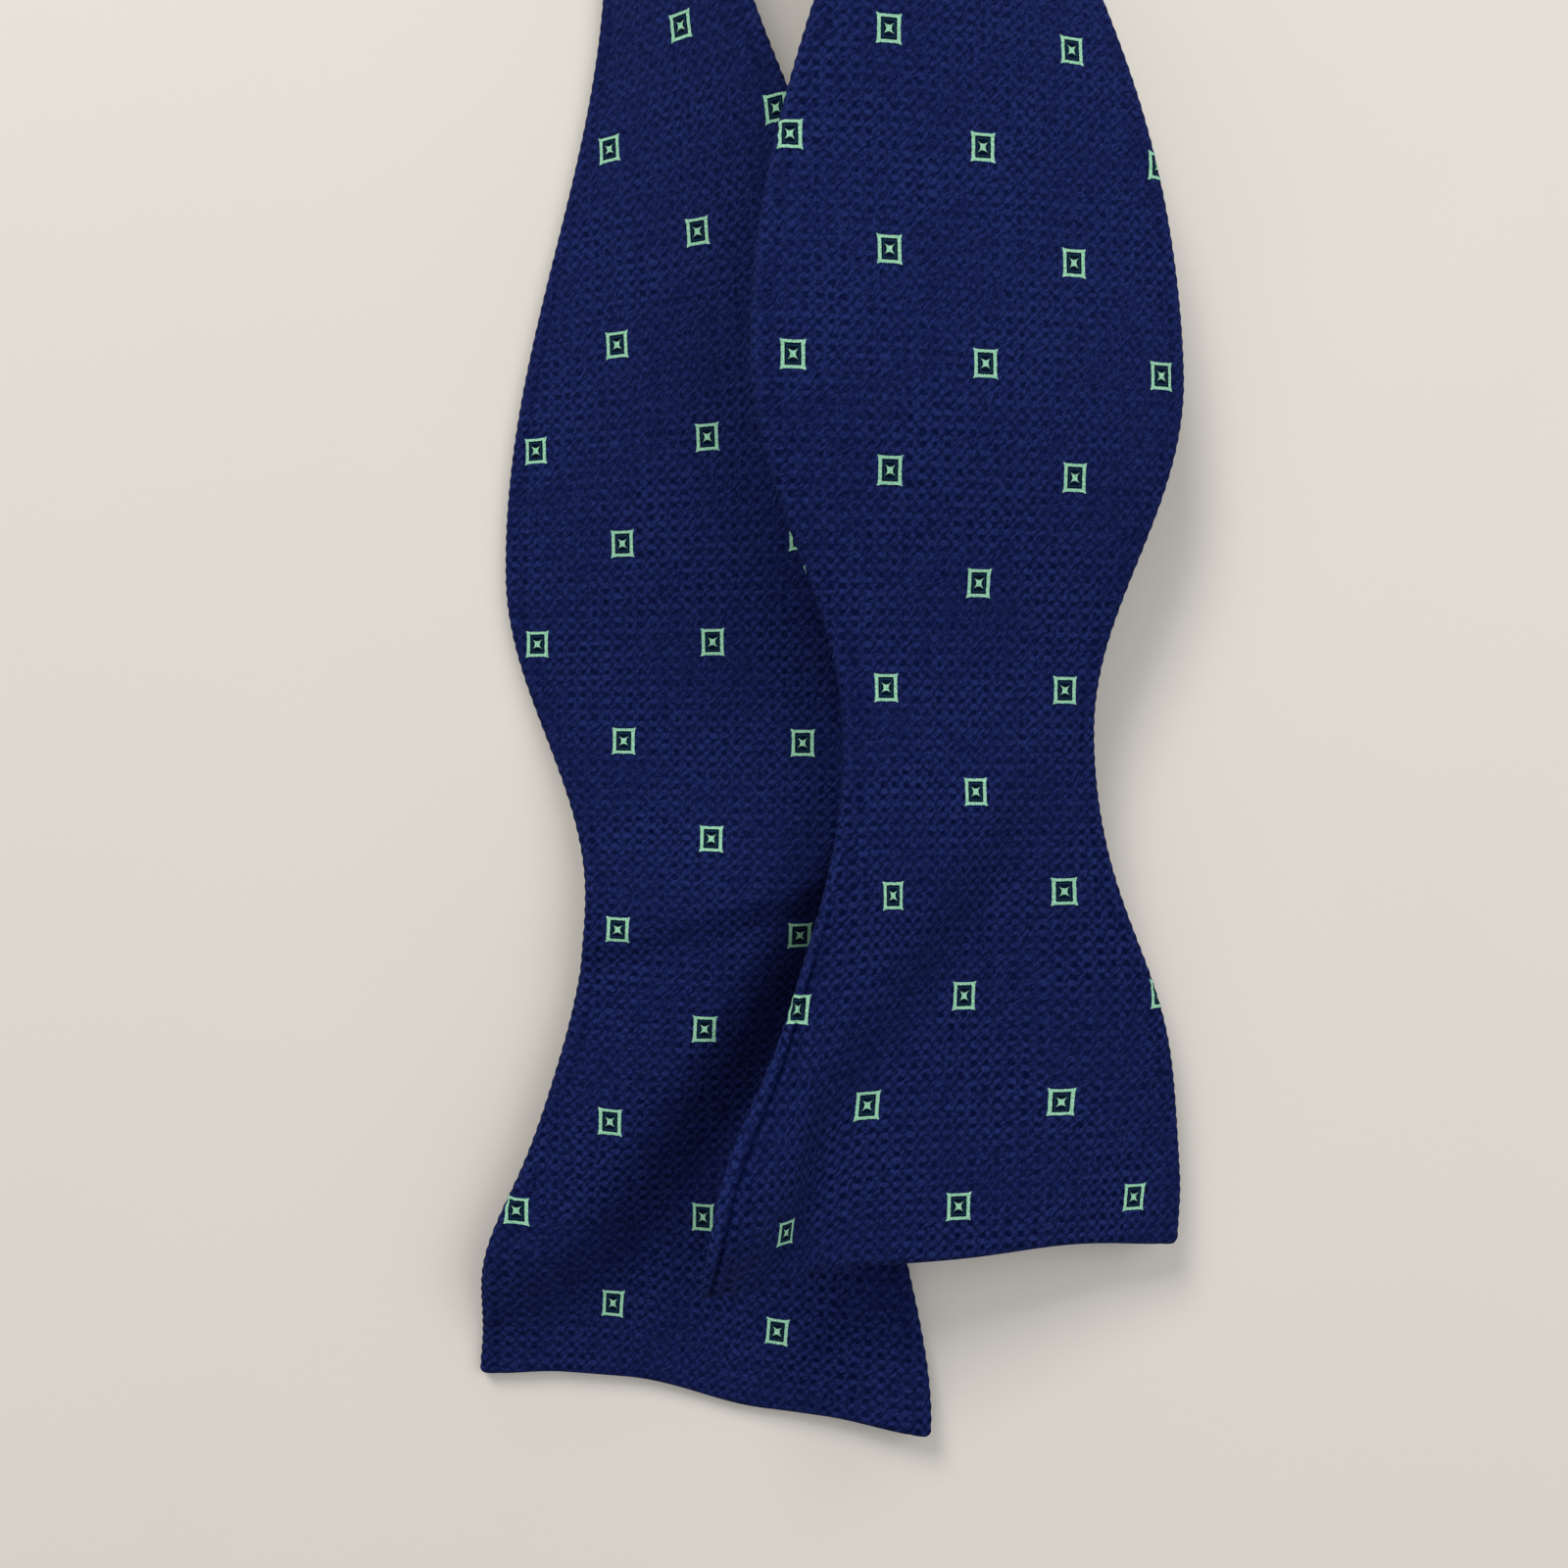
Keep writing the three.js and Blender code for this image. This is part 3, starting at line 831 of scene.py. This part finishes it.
def nickel_material():
    """Bright nickel plate with fine rub marks and a few duller patches."""
    shader = Shader("nickel_plate")
    place = shader.node("ShaderNodeTexCoord").outputs["Object"]
    split = shader.node("ShaderNodeSeparateXYZ")
    shader.put(split.inputs[0], place)
    along = shader.times(split.outputs[2], 0.06)
    brushed = shader.vector(split.outputs[0], split.outputs[1], along)
    marks = shader.noise(brushed, 5200, 3.0, 0.6)
    patches = shader.noise(place, 420, 3.0, 0.55)
    colour = shader.mix(patches, srgb(196, 196, 198), srgb(226, 226, 224))
    dull = shader.ramp(patches, 0.35, 0.7, 0.16, 0.34)
    shader.set(Base_Color=colour, Metallic=1.0, Roughness=shader.math("MULTIPLY_ADD", marks, 0.1, dull),
               Normal=shader.bump(marks, 0.012 * MM, 0.5))
    return shader.material


NAVY = cloth_material()
CANVAS = canvas_material()
LABEL = label_material()
THREAD = thread_material()
NICKEL = nickel_material()


# ---------------------------------------------------------------- the two halves

LEFT_END = left.run_start + EYE_X - EYE_LENGTH - HEM_TAIL - GAP - left.run_x
RIGHT_LATTICE = (0.5, 7.75, 0.004, right_drawn)
LEFT_LATTICE = (0.2, 25.1, 0.021, left_drawn)
RIGHT_CANVAS_END = right.run_start - 4
LEFT_CANVAS_END = LEFT_END - 2
CANVAS_COLUMNS = 24
FOLD_REACH = 9
JOIN_HALF = STRAP_HALF * 1.25
TAPER = 24


def flat_area(v_from, v_to, inset=0):
    """The area of one layer of a strand, in square metres."""
    places = np.linspace(v_from, v_to, 400)
    widths = np.array([2 * (half_width(v) - inset) for v in places])
    return float(np.sum((widths[1:] + widths[:-1]) / 2 * np.diff(places))) * MM * MM


def declare(v_from, v_to, inset=0):
    """Works out the area of the flat cloth that a blade and its band are cut from; the area is not used."""
    flat_area(v_from, v_to, inset)


def waist_point(v):
    """A point on the right blade's face, in the frame's metres."""
    return (right.lay(np.array([0.0]), v, np.array([HALF_STACK]))[0] * MM).tolist()


def right_taper(v):
    """Half the right band's thickness, which comes down to the strap's before their join."""
    return HALF_STACK + (JOIN_HALF - HALF_STACK) * grow(right.run_start - TAPER, right.run_start, v)


right_cloth = strip("right_half_cloth", right, 0, right.run_start, NAVY, relief=right_relief,
                    end_shift=right_end, reshape=right_cut, roll_depth=right_roll, lattice=RIGHT_LATTICE,
                    seam=0.28, taper=right_taper)
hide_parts("right_face", "right_back", "right_tip_face", "right_tip_back")
right_canvas = strip("right_half_canvas", right, CANVAS_INSET, RIGHT_CANVAS_END, CANVAS, half=CANVAS_HALF,
                     inset=CANVAS_INSET, relief=right_relief, end_shift=right_end, reshape=right_cut,
                     columns=CANVAS_COLUMNS, knobs=False)
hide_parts("right_interlining", "right_tip_interlining")
for piece, slot in ((right_cloth, "navy_cloth"), (right_canvas, "interlining_canvas")):
    waist_point(WAIST_AT + FOLD_REACH)
    waist_point(WAIST_AT - FOLD_REACH)
    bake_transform(piece)
declare(0, right.run_start)
declare(CANVAS_INSET, RIGHT_CANVAS_END, CANVAS_INSET)

left_cloth = strip("left_half_cloth", left, 0, LEFT_END, NAVY, relief=left_relief, end_shift=left_end,
                   reshape=left_cut, lattice=LEFT_LATTICE, seam=0.22)
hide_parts("left_face", "left_back")
left_canvas = strip("left_half_canvas", left, CANVAS_INSET, LEFT_CANVAS_END, CANVAS, half=CANVAS_HALF,
                    inset=CANVAS_INSET, relief=left_relief, end_shift=left_end, reshape=left_cut,
                    columns=CANVAS_COLUMNS, knobs=False)
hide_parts("left_interlining")
for piece, slot in ((left_cloth, "navy_cloth"), (left_canvas, "interlining_canvas")):
    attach(piece, "left_half")
declare(0, LEFT_END)
declare(CANVAS_INSET, LEFT_CANVAS_END, CANVAS_INSET)


# ---------------------------------------------------------------- the label on the left band

LABEL_FROM = 296
LABEL_TO = 326
LABEL_INSET = 2.5
LABEL_HALF = 0.2
LABEL_OUT = -HALF_STACK - GAP - LABEL_HALF

label = strip("fibre_label_tape", left, LABEL_FROM, LABEL_TO, LABEL, half=LABEL_HALF, centre=LABEL_OUT,
              inset=LABEL_INSET, columns=16, knobs=False)
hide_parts("fibre_label")
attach(label, "left_half")


# ---------------------------------------------------------------- straps and hems

STRAP_WIDE = BAND_HALF - 0.3
STRAP_THICK = STRAP_HALF * 0.9
HEM_PLY = STRAP_HALF / 2
TUCK = 3
RETURN_LINE = LOOP_TOP_Y + RETURN_Y
HOOK_LINE = LOOP_TOP_Y + HOOK_Y


def path_length(path):
    return sum(math.dist(a, b) for a, b in zip(path, path[1:]))


def frame_point(x, y, z):
    """A point in millimetres, in the frame's metres."""
    return ((np.array([x, y, z]) - ORIGIN) * MM).tolist()


def strap(name, path, replaces, pattern_from, half=STRAP_THICK):
    """A flat strap on edge along a path, which hides the part that it replaces."""
    piece = ribbon(name, path, STRAP_WIDE, half, BAND_HEIGHT, NAVY, pattern_from)
    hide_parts(replaces)
    return piece


def hem_path(bar_x, bar_y):
    """Out along one face of the tail, round the bar and back along the other face."""
    inner = HEM_PLY + 0.02
    turn = BAR_RADIUS + GAP + inner
    leave = 140
    neck = (bar_x + turn * math.cos(leave * DEG), bar_y + turn * math.sin(leave * DEG))
    tail_x, meet_x = bar_x - HEM_TAIL, bar_x - 2.6 * turn
    above = line((tail_x, bar_y + inner), (meet_x, bar_y + inner))
    below = line((meet_x, bar_y - inner), (tail_x, bar_y - inner))
    into = line((meet_x, bar_y + inner), neck)
    out = line((neck[0], 2 * bar_y - neck[1]), (meet_x, bar_y - inner))
    return route(above, into, arc((bar_x, bar_y), turn, leave, -leave, 22), out, below)


def hem(name, bar_x, bar_y, body, replaces, pattern_from):
    """The strap's end sewn back round a bar."""
    piece = strap(name, hem_path(bar_x, bar_y), replaces, pattern_from, HEM_PLY)
    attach(piece, body)


run_from, run_to = right.run_x + TUCK, HOOK_X + FOLD_LEG + GAP
outer_path = route(line((run_from, LOOP_TOP_Y), (run_to, LOOP_TOP_Y)))
outer_from = right.run_start + TUCK - RIGHT_LATTICE[1]
outer_run = strap("strap_outer", outer_path, "strap_outer_run", outer_from)
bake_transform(outer_run)

fold_radius = -HOOK_Y
fold_x = HOOK_X + FOLD_LEG + GAP
fold_path = route(
    line((fold_x, LOOP_TOP_Y), (HOOK_X, LOOP_TOP_Y)),
    arc((HOOK_X, HOOK_LINE), fold_radius, 90, 270, 18),
    line((HOOK_X, RETURN_LINE), (fold_x, RETURN_LINE)),
)
turn_from = outer_from + path_length(outer_path)
fold = strap("strap_turn", fold_path, "strap_fold", turn_from)
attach(fold, "hook")

return_from, return_to = fold_x, SLIDE_X - HEM_TAIL
return_path = route(line((return_from, RETURN_LINE), (return_to, RETURN_LINE)))
back_from = turn_from + path_length(fold_path)
return_run = strap("strap_return", return_path, "strap_return_run", back_from)
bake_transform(return_run)

hem("slide_hem_cloth", SLIDE_X, RETURN_LINE, "slider", "slide_hem",
    back_from + path_length(return_path))
hem("eye_hem_cloth", EYE_X - EYE_LENGTH, LOOP_TOP_Y, "left_half", "eye_hem",
    LEFT_END - LEFT_LATTICE[1])


# ---------------------------------------------------------------- stitches

STITCH_RISE = 0.22
STITCH_SINK = 0.08
STITCH_RADIUS = 0.13
TACKS = 11
TACK_LENGTH = 1.0


def stitches(name, runs, body):
    """Short stitches, each an arched thread between two points, lifted along its normal."""
    points, faces = [], []
    rings, sides = 7, 6
    for start, end, normal in runs:
        start, end, normal = (np.array(x, float) for x in (start, end, normal))
        across = np.cross(end - start, normal)
        across /= np.linalg.norm(across)
        first = len(points)
        for i in range(rings):
            share = i / (rings - 1)
            arch = math.sin(math.pi * share)
            centre = start + (end - start) * share + normal * (STITCH_RISE * arch - STITCH_SINK)
            radius = STITCH_RADIUS * (0.55 + 0.45 * arch)
            for k in range(sides):
                angle = 2 * math.pi * k / sides
                points.append(centre + radius * (math.cos(angle) * across + math.sin(angle) * normal))
        for i in range(rings - 1):
            for k in range(sides):
                a, b = first + i * sides + k, first + i * sides + (k + 1) % sides
                faces.append([a, b, b + sides, a + sides])
        faces.append([first + k for k in range(sides)][::-1])
        faces.append([first + (rings - 1) * sides + k for k in range(sides)])
    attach(new_object(name, points, faces, None, THREAD), body)


def tack_rows(xs, y, half_thick):
    """Rows of stitches up the strap's height at each x, on both of its faces."""
    found = []
    for x in xs:
        for face in (1, -1):
            for z in np.linspace(-STRAP_WIDE + 1.2, STRAP_WIDE - 1.2 - TACK_LENGTH, TACKS):
                low = np.array([x, y + face * half_thick, BAND_HEIGHT + z]) - ORIGIN
                found.append((low, low + np.array([0, 0, TACK_LENGTH]), (0, face, 0)))
    return found


HEM_ROWS = (HEM_TAIL - 1.6, HEM_TAIL - 5.4)
JOIN_ROWS = (1.0, 2.6)
slide_rows = tack_rows([SLIDE_X - d for d in HEM_ROWS], RETURN_LINE, STRAP_HALF)
stitches("slide_hem_stitches", slide_rows, "slider")
eye_rows = tack_rows([EYE_X - EYE_LENGTH - d for d in HEM_ROWS], LOOP_TOP_Y, STRAP_HALF)
stitches("eye_hem_stitches", eye_rows, "left_half")
band_rows = tack_rows([right.run_x + d for d in JOIN_ROWS], LOOP_TOP_Y, JOIN_HALF)
stitches("band_join_stitches", band_rows, "right_half")


def label_stitches():
    """A stitch every couple of millimetres round the label's border."""
    found = []
    out = np.array([LABEL_OUT - LABEL_HALF])
    rim = BAND_HALF - LABEL_INSET - 0.7

    def at(s, v):
        return left.lay(np.array([s]), v, out)[0]

    def normal(v):
        return (left.lay(np.array([0.0]), v, out - 1) - left.lay(np.array([0.0]), v, out))[0]

    for v in np.arange(LABEL_FROM + 1.2, LABEL_TO - 1.6, 2.0):
        found += [(at(side * rim, v), at(side * rim, v + 1.1), normal(v)) for side in (-1, 1)]
    for s in np.arange(-rim + 0.6, rim - 1.0, 2.0):
        found += [(at(s, v), at(s + 1.1, v), normal(v)) for v in (LABEL_FROM + 0.9, LABEL_TO - 0.9)]
    return found


stitches("label_stitches", label_stitches(), "left_half")


# ---------------------------------------------------------------- metal

METAL_VOXEL = 0.2
BAR_SIDES = 32


def prism_faces(count):
    """The faces between two outlines of as many points, one above the other, and both caps."""
    walls = [[k, (k + 1) % count, count + (k + 1) % count, count + k] for k in range(count)]
    return [*walls, list(range(count))[::-1], list(range(count, 2 * count))]


def bar(low, high, radius):
    """A round bar between two points, as (points, faces)."""
    low, high = np.array(low, float), np.array(high, float)
    along = (high - low) / np.linalg.norm(high - low)
    helper = np.array([1.0, 0, 0]) if abs(along[0]) < 0.5 else np.array([0, 1.0, 0])
    a = np.cross(along, helper)
    a /= np.linalg.norm(a)
    b = np.cross(along, a)
    angles = np.linspace(0, 2 * math.pi, BAR_SIDES, endpoint=False)
    ring = np.array([radius * (math.cos(t) * a + math.sin(t) * b) for t in angles])
    return np.concatenate([low + ring, high + ring]), prism_faces(BAR_SIDES)


def block(x0, x1, y0, y1, z0, z1):
    points = np.array([(x, y, z) for z in (z0, z1) for y in (y0, y1) for x in (x0, x1)], float)
    faces = [[0, 2, 3, 1], [4, 5, 7, 6], [0, 1, 5, 4], [2, 6, 7, 3], [0, 4, 6, 2], [1, 3, 7, 5]]
    return points, faces


def plate(outline, low, high):
    """A flat outline of (x, y) points, given a height from z = low to z = high."""
    points = [(x, y, z) for z in (low, high) for x, y in outline]
    return np.array(points, float), prism_faces(len(outline))


def cast(name, shapes, at, body, replaces):
    """Joins shapes into one metal piece with soft edges, as stamped and plated hardware has."""
    points, faces, count = [], [], 0
    for shape_points, shape_faces in shapes:
        points.append(shape_points + np.array(at) - ORIGIN)
        faces += [[i + count for i in f] for f in shape_faces]
        count += len(shape_points)
    made = new_object(name, np.concatenate(points), faces, None, NICKEL)
    remesh = made.modifiers.new("one_skin", "REMESH")
    remesh.mode = "VOXEL"
    remesh.voxel_size = METAL_VOXEL * MM
    remesh.use_smooth_shade = True
    soften = made.modifiers.new("soft_edges", "SMOOTH")
    soften.factor = 0.5
    soften.iterations = 4
    bpy.context.view_layer.update()
    evaluated = made.evaluated_get(bpy.context.evaluated_depsgraph_get())
    finished = bpy.data.meshes.new_from_object(evaluated)
    made.modifiers.clear()
    made.data = finished
    if not finished.materials:
        finished.materials.append(NICKEL)
    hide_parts(replaces)
    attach(made, body)


def both_ends(shape):
    """The same shape at the hardware's top and bottom, which are even about the strap's middle."""
    points, faces = shape
    flipped = points * np.array([1, 1, -1])
    return [shape, (flipped, [f[::-1] for f in faces])]


STRAP_CLEARANCE = 0.45
BAR_SETBACK = 0.4
RAIL_OVERHANG = 0.15
bar_half = HARDWARE_HALF - BAR_SETBACK
outer_y = STRAP_HALF + STRAP_CLEARANCE + BAR_RADIUS
outer_x = SLIDE_HALF_LENGTH - BAR_RADIUS - RAIL_OVERHANG


def upright(x, y, radius, half):
    return bar((x, y, -half), (x, y, half), radius)


rail_back = RETURN_Y - BAR_RADIUS - RAIL_OVERHANG
rail_front = outer_y + BAR_RADIUS + RAIL_OVERHANG
cast("size_adjuster", [
    upright(-outer_x, outer_y, BAR_RADIUS, bar_half),
    upright(outer_x, outer_y, BAR_RADIUS, bar_half),
    upright(0, RETURN_Y, BAR_RADIUS, bar_half),
    *both_ends(block(-SLIDE_HALF_LENGTH, SLIDE_HALF_LENGTH, rail_back, rail_front,
                     HARDWARE_HALF - RAIL, HARDWARE_HALF)),
], (SLIDE_X, LOOP_TOP_Y, BAND_HEIGHT), "slider", "adjuster_slide")

hook_back = HOOK_FRAME - HOOK_CROSSBAR
curl = -HOOK_Y
tongue = [
    (-hook_back - 0.6, -curl - HOOK_PLATE_HALF),
    (-hook_back - 0.6, -curl + HOOK_PLATE_HALF),
    *arc((-HOOK_REACH, 0), curl - HOOK_PLATE_HALF, 270, 90, 18),
    (-HOOK_REACH + HOOK_LIP, curl - HOOK_PLATE_HALF),
    (-HOOK_REACH + HOOK_LIP, curl + HOOK_PLATE_HALF),
    *arc((-HOOK_REACH, 0), curl + HOOK_PLATE_HALF, 90, 270, 24),
]
plate_y = (HOOK_Y - HOOK_PLATE_HALF, HOOK_Y + HOOK_PLATE_HALF)
cast("neck_hook", [
    upright(0, HOOK_Y, HOOK_PLATE_HALF, bar_half),
    *both_ends(block(-HOOK_FRAME, HOOK_PLATE_HALF + RAIL_OVERHANG, *plate_y,
                     HARDWARE_HALF - RAIL, HARDWARE_HALF)),
    block(-HOOK_FRAME, -hook_back, *plate_y, -bar_half, bar_half),
    plate(tongue[::-1], -HOOK_HEIGHT / 2, HOOK_HEIGHT / 2),
], (HOOK_X, LOOP_TOP_Y, BAND_HEIGHT), "hook", "hook")

# The wire's corners are rounded, so its bars end a little past each other's middles.
eye_half = HARDWARE_HALF - BAR_RADIUS - 0.05
past = BAR_RADIUS * 0.7
cast("neck_eye", [
    upright(0, 0, BAR_RADIUS, eye_half + past),
    upright(-EYE_LENGTH, 0, BAR_RADIUS, eye_half + past),
    *both_ends(bar((-EYE_LENGTH - past, 0, eye_half), (past, 0, eye_half), BAR_RADIUS)),
], (EYE_X, LOOP_TOP_Y, BAND_HEIGHT), "left_half", "eye")


# ---------------------------------------------------------------- floor, light and camera

def floor_material():
    """A pale matt board with faint mottling."""
    shader = Shader("pale_board")
    place = shader.node("ShaderNodeTexCoord").outputs["Object"]
    mottle = shader.noise(place, 9, 4.0)
    grain = shader.noise(place, 900, 2.0)
    colour = shader.mix(mottle, srgb(224, 219, 209), srgb(230, 226, 217))
    shader.set(Base_Color=colour, Roughness=0.8, Normal=shader.bump(grain, 0.05 * MM, 0.3))
    return shader.material


FLOOR_HALF = 1500
floor_corners = [(x * FLOOR_HALF, y * FLOOR_HALF, 0) for x, y in ((-1, -1), (1, -1), (1, 1), (-1, 1))]
floor = new_object("floor", floor_corners, [[0, 1, 2, 3]], None, floor_material())

WORLD_STRENGTH = 0.46
LIGHT_TARGET = (0, -0.06, 0)

world = bpy.data.worlds.new("studio")
bpy.context.scene.world = world
world.use_nodes = True
background = world.node_tree.nodes["Background"]
background.inputs["Color"].default_value = srgb(236, 236, 240)
background.inputs["Strength"].default_value = WORLD_STRENGTH


def soft_light(name, place, size, power, colour):
    """A square lamp that faces the middle of the object."""
    data = bpy.data.lights.new(name, "AREA")
    data.shape = "SQUARE"
    data.size = size
    data.energy = power
    data.color = colour[:3]
    lamp = bpy.data.objects.new(name, data)
    lamp.location = place
    target = Vector(LIGHT_TARGET)
    lamp.rotation_euler = (target - lamp.location).to_track_quat("-Z", "Y").to_euler()
    bpy.context.scene.collection.objects.link(lamp)


soft_light("window", (-0.45, 0.95, 0.85), 0.5, 11.5, srgb(255, 252, 247))
soft_light("room", (0.75, 0.35, 1.1), 1.0, 7, srgb(250, 250, 252))

scene = bpy.context.scene
scene.view_settings.view_transform = "Standard"

# The view is from just above the blades, almost straight down, with a wide lens.
CAMERA_HEIGHT = 206
CAMERA_TILT = 1.38
CAMERA_FOV = 57
camera_data = bpy.data.cameras.new("camera")
camera_data.angle = CAMERA_FOV * DEG
camera_data.clip_start = 0.01
camera = bpy.data.objects.new("camera", camera_data)
camera.location = frame_point(0, CAMERA_HEIGHT * math.tan(CAMERA_TILT * DEG), CAMERA_HEIGHT)
camera.rotation_euler = (-CAMERA_TILT * DEG, 0, 0)
scene.collection.objects.link(camera)
scene.camera = camera
